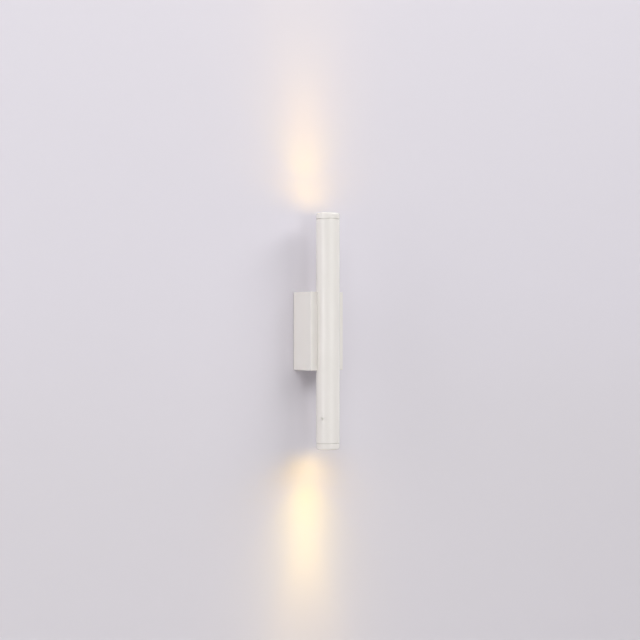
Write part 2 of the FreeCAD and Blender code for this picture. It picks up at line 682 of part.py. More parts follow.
def clamp_screws():
    """Slotted screws without heads, two to a pole."""
    body = new_body("clamp_screws")
    for across, up in CLAMP_PLACES:
        pin = new_sketch(body, "XZ_Plane", "block_back + pin_sink")
        circle(pin, across, up, "pin_radius - thread_ease")
        pad(body, pin, "clamp_depth - block_back - 2 * pin_sink")
        slot = new_sketch(body, "XZ_Plane", "block_back + pin_sink")
        rectangle(slot, across + " - m3", across + " + m3", up + " - pin_slot", up + " + pin_slot")
        pocket(body, slot, "pin_sink")


def terminal_block_screws():
    body = new_body("terminal_block_screws")
    for across, up in BLOCK_EARS:
        depth_screw(body, across, up, "block_front - block_ear_thickness", "m3_length", "m3")


# ---------------------------------------------------------------- driver

def driver_outline(sketch, inset):
    rectangle(sketch, "-(driver_half - %s)" % inset, "driver_half - %s" % inset,
              "driver_low + " + inset, "driver_high - " + inset)


BOARD_POSTS = [(across, up) for across in ("-post_across", "post_across")
               for up in ("driver_low + post_inset", "driver_high - post_inset")]
MAINS_HOLES = (("-pole_pitch", "live_lead"), ("0", "neutral_lead"))


def driver_case():
    """Plastic tray open towards the wall, with board posts and two fixing ears."""
    tray_depth = "driver_front - driver_back - driver_wall"
    body = new_body("driver_case")
    tray = new_sketch(body, "XZ_Plane", "driver_back + driver_wall")
    driver_outline(tray, "0")
    pad(body, tray, tray_depth)
    round_edges(body, "case_round", lambda edge: edge.BoundBox.YLength > 1)
    for across, up in DRIVER_EARS:
        ear = new_sketch(body, "XZ_Plane", "driver_front - ear_thickness")
        sign = "-" if across.startswith("-") else ""
        rectangle(ear, sign + "(driver_half - 1)", sign + "(ear_across + ear_margin)",
                  up + " - ear_half", up + " + ear_half")
        pad(body, ear, "ear_thickness")
    hollow = new_sketch(body, "XZ_Plane", "driver_back + driver_wall")
    driver_outline(hollow, "driver_wall")
    pocket(body, hollow, tray_depth + " - driver_wall")
    for across, up in BOARD_POSTS:
        post = new_sketch(body, "XZ_Plane", "board_front")
        circle(post, across, up, "post_radius")
        pad(body, post, "driver_front - driver_wall / 2 - board_front")
    fixing = new_sketch(body, "XZ_Plane", "driver_front - ear_thickness")
    for across, up in DRIVER_EARS:
        circle(fixing, across, up, "m3 + tight_ease")
    pocket(body, fixing, "ear_thickness")
    outlet = new_sketch(body, "XZ_Plane", "driver_front - driver_wall")
    circle(outlet, "0", "grommet_height", "outlet_radius")
    pocket(body, outlet, "driver_wall")
    inlets = new_sketch(body, "XY_Plane", "driver_low")
    for across, _ in MAINS_HOLES:
        circle(inlets, across, "-clamp_depth", "mains_lead + tight_ease")
    pocket(body, inlets, "driver_wall")


def driver_lid():
    """Flat lid with a locating rim inside the tray."""
    body = new_body("driver_lid")
    plate = new_sketch(body, "XZ_Plane", "driver_back")
    driver_outline(plate, "0")
    pad(body, plate, "driver_wall")
    round_edges(body, "case_round", lambda edge: edge.BoundBox.YLength > 1)
    rim = new_sketch(body, "XZ_Plane", "driver_back + driver_wall")
    driver_outline(rim, "(driver_wall + rim_gap)")
    driver_outline(rim, "(driver_wall + rim_gap + rim_width)")
    pad(body, rim, "rim_width")


def driver_board():
    body = new_body("driver_board")
    plate = new_sketch(body, "XZ_Plane", "board_front - board_thickness")
    driver_outline(plate, "(driver_wall + board_inset)")
    pad(body, plate, "board_thickness")


BOARD_BACK = "(board_front - board_thickness)"


def on_board(body, left, right, low, high, rise):
    """A block that stands on the board's parts side."""
    part = new_sketch(body, "XZ_Plane", "%s - (%s)" % (BOARD_BACK, rise))
    rectangle(part, left, right, low, high)
    pad(body, part, rise)


# Parts on the driver board: left, right, low, high and rise above the board.
CORE = ("-2", "12", "13", "24", "8")
WINDING = ("0", "10", "10.5", "26.5", "6.8")
RECTIFIER = ("5", "11", "3", "8", "2.4")
CONTROLLER = ("2", "7", "30", "34", "1.5")
# Capacitors lie along the board: low and high end.
CAPACITOR_RUNS = (("4.5", "15"), ("22", "32"))
CAPACITOR_ACROSS = "-9"


def driver_transformer():
    """Ferrite core with its winding standing out on both sides."""
    body = new_body("driver_transformer")
    on_board(body, *CORE)
    on_board(body, *WINDING)
    round_edges(body, "rubber_bevel", lambda edge: abs(edge.tangentAt(edge.FirstParameter).y) > 0.9)


def driver_capacitors():
    """Two electrolytic capacitors lying on the board."""
    body = new_body("driver_capacitors")
    for low, high in CAPACITOR_RUNS:
        can = new_sketch(body, "XY_Plane", low)
        circle(can, CAPACITOR_ACROSS, "-(%s - can_radius)" % BOARD_BACK, "can_radius")
        pad(body, can, "%s - %s" % (high, low))


def driver_chips():
    """Bridge rectifier and controller."""
    body = new_body("driver_chips")
    for chip in (RECTIFIER, CONTROLLER):
        on_board(body, *chip)


def driver_screws():
    body = new_body("driver_screws")
    for across, up in DRIVER_EARS:
        depth_screw(body, across, up, "driver_front - ear_thickness", "m3_length", "m3")


# ---------------------------------------------------------------- tube and its fixing

def lead_grommet():
    """Rubber grommet through the saddle and the tube wall, its flange inside the box."""
    seat = "-(axis_depth - tube_radius - box_wall)"
    back = seat + " + grommet_lip"
    front = "-(axis_depth - tube_radius + tube_wall + grommet_tail)"
    sleeve = "grommet_hole - tight_ease"
    body = new_body("lead_grommet")
    spin(body, "XY_Plane", "grommet_height", "0", [
        ("grommet_bore", back), ("grommet_flange - rubber_bevel", back),
        ("grommet_flange", back + " - rubber_bevel"), ("grommet_flange", seat),
        (sleeve, seat), (sleeve, front), ("grommet_bore", front)])


def tube_body():
    """Extruded tube between the two end rings, drilled for screws, leads and grub screws."""
    end = "(tube_length / 2 - ring_length)"
    bore = "tube_radius - tube_wall"
    body = turned("tube_body", [
        (bore, "-" + end), ("tube_radius - seam_chamfer", "-" + end),
        ("tube_radius", "-(%s - seam_chamfer)" % end), ("tube_radius", end + " - seam_chamfer"),
        ("tube_radius - seam_chamfer", end), (bore, end)])
    back = new_sketch(body, "XZ_Plane", "-(tube_radius + 1)")
    for up in TUBE_SCREWS:
        circle(back, "0", up, "m4 + hole_ease")
    circle(back, "0", "grommet_height", "grommet_hole")
    pocket(body, back, "tube_radius")
    for side in (1, -1):
        grub_hole(body, side, "m4 + grub_ease", "tube_radius / 2", "tube_radius")


def turn_plane(sketch, side, reach):
    """Turn a front plane grub_angle about the tube axis and move it out by reach."""
    sketch.AttachmentOffset = Placement(Vector(), Rotation(Vector(0, side, 0), value("grub_angle")))
    bind(sketch, "AttachmentOffset.Rotation.Angle", "grub_angle * 1 deg")
    bind(sketch, "AttachmentOffset.Base.x", "%d * (%s) * sin(grub_angle * 1 deg)" % (side, reach))
    bind(sketch, "AttachmentOffset.Base.z", "(%s) * cos(grub_angle * 1 deg)" % reach)


def grub_hole(body, side, radius, reach, length):
    """A hole square to the tube axis, grub_angle away from the front."""
    hole = new_sketch(body, "XZ_Plane")
    turn_plane(hole, side, reach)
    circle(hole, "0", outward(side, "grub_height"), radius)
    pocket(body, hole, length)


def tube_bar():
    """Bar inside the tube, curved to its bore and tapped for the tube screws."""
    body = new_body("tube_bar")
    section = new_sketch(body, "XY_Plane")
    half_round(section, "tube_radius - tube_wall - bar_gap", "axis_depth - bar_chord")
    pad(body, section, "2 * bar_half", symmetric=True)
    taps = new_sketch(body, "XZ_Plane", "axis_depth - tube_radius")
    for up in TUBE_SCREWS:
        circle(taps, "0", up, "m4")
    pocket(body, taps, "tube_radius")


def tube_washers():
    body = new_body("tube_washers")
    for up in TUBE_SCREWS:
        ring = new_sketch(body, "XZ_Plane", SADDLE_SEAT + " - washer_thickness")
        circle(ring, "0", up, "washer_radius")
        circle(ring, "0", up, "m4 + hole_ease")
        pad(body, ring, "washer_thickness")


def tube_screws():
    """Screws from inside the box through saddle and tube into the bar."""
    body = new_body("tube_screws")
    for up in TUBE_SCREWS:
        depth_screw(body, "0", up, SADDLE_SEAT + " - washer_thickness", "tube_screw_length", "m4")


def grub_screws():
    """Headless socket screws, just below the tube's surface, one into each heat sink."""
    body = new_body("grub_screws", ON_AXIS)
    outer = "tube_radius - grub_sink"
    for side in (1, -1):
        pin = new_sketch(body, "XZ_Plane")
        turn_plane(pin, side, "grub_inner")
        circle(pin, "0", outward(side, "grub_height"), "m4 - thread_ease")
        pad(body, pin, outer + " - grub_inner")
        socket = new_sketch(body, "XZ_Plane")
        turn_plane(socket, side, outer + " - grub_socket_sink")
        hexagon(socket, "0", outward(side, "grub_height"), "grub_socket")
        pocket(body, socket, "grub_socket_sink")


# ---------------------------------------------------------------- light module at each end

END = "tube_length / 2"
SINK_TOP = END + " - sink_top"
BOARD_SEAT = SINK_TOP + " + thermal_pad"
BOARD_TOP = BOARD_SEAT + " + led_board"
LENS_TOP = END + " - lip"
LENS_SEAT = LENS_TOP + " - lens_thickness"
GASKET_SEAT = LENS_SEAT + " - gasket_thickness"
FIXINGS = ("fixing_circle", "-fixing_circle")


def lead_channel(body):
    """The channel for the leads, open at the front of a disc or slug."""
    channel = new_sketch(body, "XY_Plane")
    rectangle(channel, "-channel_half", "channel_half", "-tube_radius", "-channel_floor")
    pocket(body, channel, "tube_length", symmetric=True)


def fixing_holes(body, side, radius, low, high):
    for across in FIXINGS:
        spin(body, "XZ_Plane", "0", across,
             mirrored(side, [("0", low), (radius, low), (radius, high), ("0", high)]), hollow=True)


def heat_sink(end, side):
    """Aluminium slug with a lead channel, tapped for the board screws and the grub screw."""
    slug = "tube_radius - tube_wall - sink_gap"
    low = SINK_TOP + " - sink_length"
    body = turned(end + "_heat_sink", mirrored(side, [
        ("0", low), (slug + " - sink_bevel", low), (slug, low + " + sink_bevel"),
        (slug, SINK_TOP + " - sink_bevel"), (slug + " - sink_bevel", SINK_TOP), ("0", SINK_TOP)]))
    lead_channel(body)
    fixing_holes(body, side, "fine_screw", SINK_TOP + " - fixing_length", SINK_TOP)
    grub_hole(body, side, "m4", "grub_inner", "tube_radius")


def module_disc(end, name, side, radius, low, high):
    """A disc under or at the LED board, with the lead channel and the screw holes."""
    body = turned(end + name, mirrored(side, [("0", low), (radius, low), (radius, high), ("0", high)]))
    lead_channel(body)
    fixing_holes(body, side, "fine_screw + tight_ease", low, high)


def led_chip(end, side):
    """Round chip carrier with its raised glowing face."""
    top = BOARD_TOP + " + chip_thickness"
    turned(end + "_led_chip", mirrored(side, [
        ("0", BOARD_TOP), ("chip_radius", BOARD_TOP), ("chip_radius", top), ("glow_radius", top),
        ("glow_radius - glow_rise", top + " + glow_rise"), ("0", top + " + glow_rise")]))


def led_board_screws():
    body = new_body("led_board_screws", ON_AXIS)
    shank, tip = "(fine_screw - thread_ease)", BOARD_TOP + " - fixing_length"
    top = BOARD_TOP + " + fixing_head_height"
    for side in (1, -1):
        for across in FIXINGS:
            spin(body, "XZ_Plane", "0", across, mirrored(side, [
                ("0", tip), (shank + " - screw_bevel", tip), (shank, tip + " + screw_bevel"),
                (shank, BOARD_TOP), ("fixing_head", BOARD_TOP), ("fixing_head", top + " - screw_bevel"),
                ("fixing_head - screw_bevel", top), ("0", top)]))
            socket_along(body, side, across, "0", top, "fixing_head * socket_share",
                         "fixing_head_height * socket_sink")


def reflector(end, side):
    """Cone from a short foot on the board up to a rim under the gasket."""
    rim, foot = "(pocket_radius - 2 * lens_gap)", "reflector_foot"
    turned(end + "_reflector", mirrored(side, [
        (foot, BOARD_TOP), (foot + " + reflector_skin", BOARD_TOP),
        (foot + " + reflector_skin", BOARD_TOP + " + reflector_edge"),
        (rim, GASKET_SEAT + " - reflector_edge"), (rim, GASKET_SEAT),
        (rim + " - reflector_skin", GASKET_SEAT),
        (rim + " - reflector_skin", GASKET_SEAT + " - reflector_edge"),
        (foot, BOARD_TOP + " + reflector_edge")]))


def lens(end, side):
    """Frosted disc behind the ring's lip."""
    edge = "(pocket_radius - lens_gap)"
    turned(end + "_lens", mirrored(side, [
        ("0", LENS_SEAT), (edge + " - glass_bevel", LENS_SEAT), (edge, LENS_SEAT + " + glass_bevel"),
        (edge, LENS_TOP + " - glass_bevel"), (edge + " - glass_bevel", LENS_TOP), ("0", LENS_TOP)]))


def lens_gasket(end, side):
    edge = "pocket_radius - lens_gap"
    turned(end + "_lens_gasket", mirrored(side, [
        ("gasket_bore", GASKET_SEAT), (edge, GASKET_SEAT), (edge, LENS_SEAT), ("gasket_bore", LENS_SEAT)]))


def end_ring(end, side):
    """Screw-in ring: threaded spigot, lens pocket, lip, rounded end and two blind holes for a pin key."""
    shoulder = END + " - ring_length"
    tail = shoulder + " - thread_length"
    thread = "tube_radius - tube_wall - thread_gap"
    body = turned(end + "_end_ring", mirrored(side, [
        ("pocket_radius", tail), (thread + " - screw_bevel", tail), (thread, tail + " + screw_bevel"),
        (thread, shoulder), ("tube_radius - seam_chamfer", shoulder),
        ("tube_radius", shoulder + " + seam_chamfer"), ("tube_radius", END),
        ("mouth_radius + mouth_chamfer", END), ("mouth_radius", END + " - mouth_chamfer"),
        ("mouth_radius", LENS_TOP), ("pocket_radius", LENS_TOP)]))
    tip, reach = value(END), value("tube_radius")
    round_edges(body, "ring_round", lambda edge: abs(abs(edge.CenterOfMass.z) - tip) < 0.01
                and abs(edge.BoundBox.XLength - 2 * reach) < 0.01)
    for across in ("key_circle", "-key_circle"):
        spin(body, "XZ_Plane", "0", across, mirrored(side, [
            ("0", END + " - key_sink"), ("key_radius", END + " - key_sink"),
            ("key_radius", END + " + 1"), ("0", END + " + 1")]), hollow=True)


def light_module(end, side):
    heat_sink(end, side)
    module_disc(end, "_thermal_pad", side, "led_board_radius", SINK_TOP, BOARD_SEAT)
    module_disc(end, "_led_board", side, "led_board_radius", BOARD_SEAT, BOARD_TOP)
    led_chip(end, side)
    reflector(end, side)
    lens(end, side)
    lens_gasket(end, side)
    end_ring(end, side)


# ---------------------------------------------------------------- leads

def route_wire(stops, bends):
    """Straight runs through the stops, joined by arcs of the given radii at the inner stops."""
    edges, last = [], stops[0]
    for before, corner, after, bend in zip(stops, stops[1:], stops[2:], bends):
        to_corner = (corner - before).normalize()
        from_corner = (after - corner).normalize()
        half_turn = to_corner.getAngle(from_corner) / 2
        trim = bend * math.tan(half_turn)
        entry, leave = corner - to_corner * trim, corner + from_corner * trim
        inward = (from_corner - to_corner).normalize()
        middle = corner + inward * (bend / math.cos(half_turn) - bend)
        edges += [Part.LineSegment(last, entry).toShape(), Part.Arc(entry, middle, leave).toShape()]
        last = leave
    edges.append(Part.LineSegment(last, stops[-1]).toShape())
    return Part.Wire(edges)


def lead(label, radius, stops, bends):
    """One insulated lead swept along its route; stops are (across, depth, height) formulas."""
    places = [Vector(value(across), -value(depth), value(up)) for across, depth, up in stops]
    wire = route_wire(places, bends)
    route = doc.addObject("Part::Feature", label + "_route")
    route.Shape = wire
    section = doc.addObject("Part::Circle", label + "_section")
    bind(section, "Radius", radius)
    section.Placement = Placement(places[0], Rotation(UPRIGHT, places[1] - places[0]))
    swept = doc.addObject("Part::Sweep", label)
    swept.Label = label
    swept.Sections = [section]
    swept.Spine = (route, ["Edge%d" % i for i in range(1, len(wire.Edges) + 1)])
    swept.Solid = True
    doc.recompute()
    full = math.pi * value(radius) ** 2 * wire.Length
    print("%-20s length %6.1f mm, volume against section times length %.4f, least radius %.1f mm"
          % (label, wire.Length, swept.Shape.Volume / full, min(bends)))
    return swept


def gather(label, pieces):
    group = doc.addObject("Part::Compound", label)
    group.Label = label
    group.Links = pieces
    nodes.append(group)


def supply_leads():
    """Live and neutral from the block to the driver, each bowed to one side; earth to its lug."""
    for (across, label), bow in zip(MAINS_HOLES, ("-3", "3")):
        nodes.append(lead(label, "mains_lead", [
            (across, "clamp_depth", "block_high - clamp_bite"),
            (across, "clamp_depth", "block_high + lead_exit"),
            ("(%s) + (%s)" % (across, bow), "clamp_depth", "(block_high + driver_low) / 2"),
            (across, "clamp_depth", "driver_low - lead_exit"),
            (across, "clamp_depth", "driver_low + driver_bite")], (8, 6, 8)))
    nodes.append(lead("earth_lead", "earth_wire", [
        ("earth_across", EARTH_SEAT + " + barrel_length", BARREL_HEIGHT),
        ("earth_across", "16.5", BARREL_HEIGHT), ("12.5", "17.5", "-14.5"),
        ("pole_pitch", "clamp_depth", "block_high + lead_exit"),
        ("pole_pitch", "clamp_depth", "block_high - clamp_bite")], (3.3, 3.3, 4)))


def led_leads():
    """Driver to LED boards: out through the grommet, along the front of the tube, onto the board."""
    for colour, sign in (("red", "-"), ("black", "")):
        across = sign + "lead_offset"
        pair = []
        for end, side in ENDS:
            start_height = "grommet_height + %d * lead_offset" % side
            lie = outward(side, BOARD_TOP + " + led_lead")
            run = "axis_depth + lead_reach"
            stops = [(across, "board_front", start_height), (across, run, start_height),
                     (across, run, lie), (across, run + " - lead_landing", lie)]
            pair.append(lead("%s_lead_%s" % (colour, end), "led_lead", stops, (12, 2)))
        gather(colour + "_led_leads", pair)


# ---------------------------------------------------------------- whole lamp

def build_all():
    for make in (wall_bracket, cable_bush, earth_lug, earth_washer, earth_screw, base_housing, cover_screws,
                 terminal_block, terminal_clamps, clamp_screws, terminal_block_screws, driver_case,
                 driver_lid, driver_board, driver_transformer, driver_capacitors, driver_chips,
                 driver_screws, lead_grommet, tube_body, tube_bar, tube_washers, tube_screws,
                 grub_screws, led_board_screws):
        make()
    for end, side in ENDS:
        light_module(end, side)
    supply_leads()
    led_leads()
    doc.recompute()


def check_all():
    """Every object has to be computed, and every sub-part a valid shape."""
    for item in doc.Objects:
        if "Invalid" in item.State or "Error" in item.State:
            raise RuntimeError("%s: %s" % (item.Label, item.State))
    for node in nodes:
        if node.Shape.isNull() or not node.Shape.isValid() or not node.Shape.Solids:
            raise RuntimeError(node.Label + " has no valid solid")


def export_all():
    os.makedirs(PARTS_FOLDER, exist_ok=True)
    for node in nodes:
        node.Shape.exportStep(os.path.join(PARTS_FOLDER, node.Label + ".step"))


build_all()
check_all()
export_all()
for node in nodes:
    print("%-22s %d solid(s) %9.1f mm3" % (node.Label, len(node.Shape.Solids), node.Shape.Volume))
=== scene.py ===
"""Looks of the tube wall light: coated tube and box, threaded end rings, glowing lenses, wall and light.

Metres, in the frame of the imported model: the origin lies on the wall at the middle of the box, +Z runs up
along the tube and +Y points into the wall.
"""
import math

import bpy
import numpy as np
from mathutils import Euler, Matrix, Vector


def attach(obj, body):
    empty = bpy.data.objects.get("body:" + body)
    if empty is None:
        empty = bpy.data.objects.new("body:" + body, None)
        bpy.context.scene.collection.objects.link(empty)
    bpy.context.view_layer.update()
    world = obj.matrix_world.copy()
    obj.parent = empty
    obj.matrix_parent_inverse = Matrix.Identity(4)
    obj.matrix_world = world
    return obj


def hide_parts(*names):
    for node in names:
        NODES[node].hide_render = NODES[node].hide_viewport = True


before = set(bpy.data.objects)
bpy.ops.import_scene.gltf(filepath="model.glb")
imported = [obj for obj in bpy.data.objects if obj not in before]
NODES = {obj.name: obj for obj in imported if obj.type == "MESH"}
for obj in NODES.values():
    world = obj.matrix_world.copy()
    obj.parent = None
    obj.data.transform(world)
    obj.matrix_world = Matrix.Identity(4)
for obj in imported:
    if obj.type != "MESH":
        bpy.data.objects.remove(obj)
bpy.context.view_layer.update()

MM = 0.001

# Tube and end rings.
AXIS = Vector((0.0, -42 * MM, 0.0))
LAMP_END = 150 * MM
TUBE_RADIUS = 15 * MM
SHOULDER = 142 * MM
RING_TAIL = 136 * MM
SEAM_CHAMFER = 0.3 * MM
SEAM_GAP = 0.5 * MM
SEAM_FLOOR = 13.9 * MM
RING_ROUND = 2.2 * MM
MOUTH_RADIUS = 11 * MM
MOUTH_CHAMFER = 0.3 * MM
LENS_TOP = 148.4 * MM
POCKET_RADIUS = 12.3 * MM
THREAD_CREST = 13.42 * MM
THREAD_DEPTH = 0.5 * MM
THREAD_PITCH = 1 * MM
THREAD_LEAD_IN = 0.5 * MM
THREAD_RELIEF = 0.8 * MM
KEY_CIRCLE = 12.3 * MM
KEY_RADIUS = 0.7 * MM
KEY_SINK = 1 * MM
KEY_SIDES = 24


# ---------------------------------------------------------------- shader arithmetic

class Signal:
    """An output socket that takes part in arithmetic: an expression on it adds Math nodes."""

    def __init__(self, paint, socket):
        self.paint, self.socket = paint, socket

    def math(self, operation, first, second=0.0):
        return self.paint.node("Math", {"operation": operation}, {0: first, 1: second})

    def __add__(self, other):
        return self.math("ADD", self, other)

    def __sub__(self, other):
        return self.math("SUBTRACT", self, other)

    def __rsub__(self, other):
        return self.math("SUBTRACT", other, self)

    def __mul__(self, other):
        return self.math("MULTIPLY", self, other)

    def __pow__(self, other):
        return self.math("POWER", self, other)

    def __rpow__(self, other):
        return self.math("POWER", other, self)

    def __abs__(self):
        return self.math("ABSOLUTE", self)

    def __lt__(self, other):
        return self.math("LESS_THAN", self, other)

    def __gt__(self, other):
        return self.math("GREATER_THAN", self, other)

    __radd__ = __add__
    __rmul__ = __mul__


class Paint:
    """A node tree in the making, with one way to add a node."""

    def __init__(self, tree):
        self.tree = tree

    def node(self, kind, settings=None, sockets=None, output=0):
        """Add a node, set its settings, then give its sockets values or links; returns one output."""
        made = self.tree.nodes.new("ShaderNode" + kind)
        for name, setting in (settings or {}).items():
            setattr(made, name, setting)
        for name, given in (sockets or {}).items():
            self.feed(made.inputs[name], given)
        return Signal(self, made.outputs[output])

    def feed(self, socket, given):
        if isinstance(given, Signal):
            self.tree.links.new(given.socket, socket)
        else:
            socket.default_value = given

    def place(self):
        """Object coordinates."""
        return self.node("TexCoord", output="Object")

    def parts_of(self, vector):
        """The three components of a vector."""
        split = self.node("SeparateXYZ", sockets={"Vector": vector}).socket.node
        return [Signal(self, socket) for socket in split.outputs]

    def noise(self, grain, detail=2.0, output=0):
        """Noise from 0 to 1 with features of about the size grain, in metres."""
        return self.node("TexNoise", sockets={
            "Vector": self.place(), "Scale": 1 / grain, "Detail": detail}, output=output)

    def cells(self, size, settings=None, output="Distance", vector=None):
        """Cells of about the given size, in metres."""
        return self.node("TexVoronoi", settings, {
            "Vector": vector or self.place(), "Scale": 1 / size}, output)

    def blend(self, share, first, second):
        """The first colour where share is 0 and the second where it is 1."""
        return self.node("Mix", {"data_type": "RGBA"}, {0: share, 6: first, 7: second}, 2)

    def ease(self, signal, painted_shade, high, start=0.0, end=1.0):
        """A smooth step from start at low to end at high."""
        return self.node("MapRange", {"interpolation_type": "SMOOTHSTEP"}, {
            "Value": signal, "From Min": painted_shade, "From Max": high, "To Min": start, "To Max": end})

    def bump(self, height, depth):
        """Relief whose height of 1 stands for depth, in metres."""
        return self.node("Bump", sockets={"Strength": 1.0, "Distance": depth, "Height": height})

    def from_axis(self):
        """Distance from the tube axis."""
        across, depth, _ = self.parts_of(self.place())
        depth = depth - AXIS.y
        return (across * across + depth * depth) ** 0.5


def rgb(red, green, blue):
    """A colour given in the 0 to 255 steps of a screen, made linear."""
    def linear(step):
        share = step / 255
        return share / 12.92 if share <= 0.04045 else ((share + 0.055) / 1.055) ** 2.4
    return (linear(red), linear(green), linear(blue), 1.0)


def finish(name, shader):
    """A material: shader(paint) gives the Principled sockets, fixed numbers or signals."""
    material = bpy.data.materials.new(name)
    material.use_nodes = True
    paint = Paint(material.node_tree)
    principled = material.node_tree.nodes["Principled BSDF"]
    for socket, given in shader(paint).items():
        paint.feed(principled.inputs[socket], given)
    return material


# ---------------------------------------------------------------- finishes

COAT_WHITE = rgb(228, 224, 219)
COAT_SHADE = rgb(224, 220, 214)
COAT_CLOUD = 35 * MM
COAT_RELIEF = 0.03 * MM
SKIN = 0.02 * MM
TURNING_MARKS = 9000
BARE_LOW = rgb(196, 198, 201)
BARE_HIGH = rgb(214, 215, 216)


def coat_colour(paint):
    return paint.blend(paint.noise(COAT_CLOUD), COAT_WHITE, COAT_SHADE)


def coat_roughness(paint):
    return 0.2 + paint.noise(4 * MM) * 0.06


def coat_relief(paint):
    """Orange peel of a powder coat over its fine grain."""
    return paint.noise(1.6 * MM) + paint.noise(0.45 * MM, 1.0) * 0.3


def powder_coat(paint):
    return {"Base Color": coat_colour(paint),
            "Roughness": coat_roughness(paint),
            "Normal": paint.bump(coat_relief(paint), COAT_RELIEF)}


def ring_metal(paint):
    """Coat outside; bare turned metal on the thread and in the lens pocket, each by its place."""
    _, _, up = paint.parts_of(paint.place())
    radius, height = paint.from_axis(), abs(up)
    thread = height < SHOULDER - SKIN
    pocket = (radius < POCKET_RADIUS + 5 * SKIN) * (height < LENS_TOP - SKIN)
    bare = thread.math("MAXIMUM", thread, pocket)
    turning = paint.node("TexNoise", sockets={
        "Vector": paint.node("CombineXYZ", sockets={0: radius * TURNING_MARKS, 1: up * TURNING_MARKS}),
        "Scale": 1.0, "Detail": 2.0})
    return {"Base Color": paint.blend(bare, coat_colour(paint), paint.blend(turning, BARE_LOW, BARE_HIGH)),
            "Metallic": bare * 0.95,
            "Roughness": coat_roughness(paint) - bare * 0.08,
            "Normal": paint.bump(coat_relief(paint) * (1 - bare), COAT_RELIEF)}


def metal(dark, light, rough, grain=0.6 * MM, depth=0.004 * MM):
    """A metal with fine machining marks."""
    def shader(paint):
        marks = paint.noise(grain, 3.0)
        return {"Base Color": paint.blend(marks, dark, light), "Metallic": 1.0,
                "Roughness": rough + paint.noise(2 * MM) * 0.12,
                "Normal": paint.bump(marks, depth)}
    return shader


def galvanised(paint):
    """Zinc spangle: ragged crystals of a few millimetres, each with its own tone and gloss, and frost."""
    waver = paint.node("VectorMath", {"operation": "SCALE"}, {
        0: paint.noise(2.5 * MM, 3.0, "Color"), "Scale": 1.6 * MM})
    ragged = paint.node("VectorMath", {"operation": "ADD"}, {0: paint.place(), 1: waver})
    crystal, gloss, _ = paint.parts_of(paint.cells(3.2 * MM, output="Color", vector=ragged))
    frost = paint.noise(0.4 * MM, 4.0)
    tone = crystal * 0.55 + frost * 0.45
    return {"Base Color": paint.blend(tone, rgb(166, 170, 174), rgb(194, 198, 201)),
            "Metallic": 0.95,
            "Roughness": 0.36 + gloss * 0.14 + frost * 0.06,
            "Normal": paint.bump(tone, 0.012 * MM)}


def plastic(dark, light, rough, grain=0.7 * MM, depth=0.01 * MM):
    """Moulded plastic, rubber or insulation with a fine grain."""
    def shader(paint):
        return {"Base Color": paint.blend(paint.noise(6 * MM), dark, light),
                "Roughness": rough + paint.noise(2 * MM) * 0.1,
                "Normal": paint.bump(paint.noise(grain), depth)}
    return shader


# Route of the earth lead: its height and its distance from the middle at each end of its slant.
EARTH_LOW, EARTH_HIGH = -20.5 * MM, -8 * MM
EARTH_AT_BLOCK, EARTH_AT_LUG = 8 * MM, 15 * MM


def earth_stripes(paint):
    """Green insulation with a yellow stripe along its front and its back, all the way up its route."""
    across, _, up = paint.parts_of(paint.place())
    route = paint.ease(up, EARTH_LOW, EARTH_HIGH, EARTH_AT_BLOCK, EARTH_AT_LUG)
    stripe = paint.ease(abs(across - route), 0.5 * MM, 0.4 * MM)
    return {"Base Color": paint.blend(stripe, rgb(44, 128, 62), rgb(226, 196, 48)),
            "Roughness": 0.42 + paint.noise(2 * MM) * 0.08}


def circuit_board(ground, copper):
    """Solder mask with tracks that show through it as a paler pattern."""
    def shader(paint):
        upright = paint.node("Mapping", sockets={
            "Vector": paint.place(), "Rotation": (math.pi / 2, 0, 0)})
        tracks = paint.node("TexBrick", sockets={
            "Vector": upright, "Scale": 160.0, "Mortar Size": 0.03, "Mortar Smooth": 0.2}, output="Fac")
        return {"Base Color": paint.blend(tracks, ground, copper),
                "Roughness": 0.32 + tracks * 0.1,
                "Normal": paint.bump(tracks, 0.03 * MM)}
    return shader


GLOW_CORE = (1.0, 0.90, 0.68, 1.0)
GLOW_RIM = (0.92, 0.70, 0.42, 1.0)
CHIP_GLOW = (1.0, 0.78, 0.42, 1.0)
DARK = (0.0, 0.0, 0.0, 1.0)
CHIP_EDGE = 3.65 * MM
GLOW_SPREAD = (2 * MM, 11.5 * MM)
LENS_STRENGTH = 0.84
CHIP_STRENGTH = 4.0


def frosted_glass(paint):
    """Etched glass lit from behind: brightest over the chip, falling off towards the ring."""
    edge = paint.ease(paint.from_axis(), *GLOW_SPREAD)
    frost = paint.noise(0.6 * MM, 3.0)
    return {"Base Color": paint.blend(frost, rgb(96, 94, 90), rgb(120, 117, 112)),
            "Roughness": 0.45 + frost * 0.2,
            "Emission Color": paint.blend(edge, GLOW_CORE, GLOW_RIM),
            "Emission Strength": LENS_STRENGTH,
            "Normal": paint.bump(paint.noise(0.3 * MM), 0.01 * MM)}


def chip_face(paint):
    """White carrier with a round yellow face that shines."""
    face = paint.ease(paint.from_axis(), CHIP_EDGE + 0.1 * MM, CHIP_EDGE - 0.1 * MM)
    return {"Base Color": paint.blend(face, rgb(236, 236, 232), rgb(240, 206, 92)),
            "Roughness": 0.4 + paint.noise(1 * MM) * 0.1,
            "Emission Color": paint.blend(face, DARK, CHIP_GLOW),
            "Emission Strength": CHIP_STRENGTH}


def hammered(paint):
    """Metallised reflector with small facets."""
    facets = paint.cells(1.6 * MM, {"feature": "SMOOTH_F1"})
    return {"Base Color": rgb(222, 224, 226), "Metallic": 1.0,
            "Roughness": 0.12 + facets * 0.08,
            "Normal": paint.bump(facets, 0.12 * MM)}


ZINC = metal(rgb(176, 179, 183), rgb(206, 208, 210), 0.26)
ALUMINIUM = metal(rgb(190, 192, 195), rgb(216, 217, 218), 0.28)

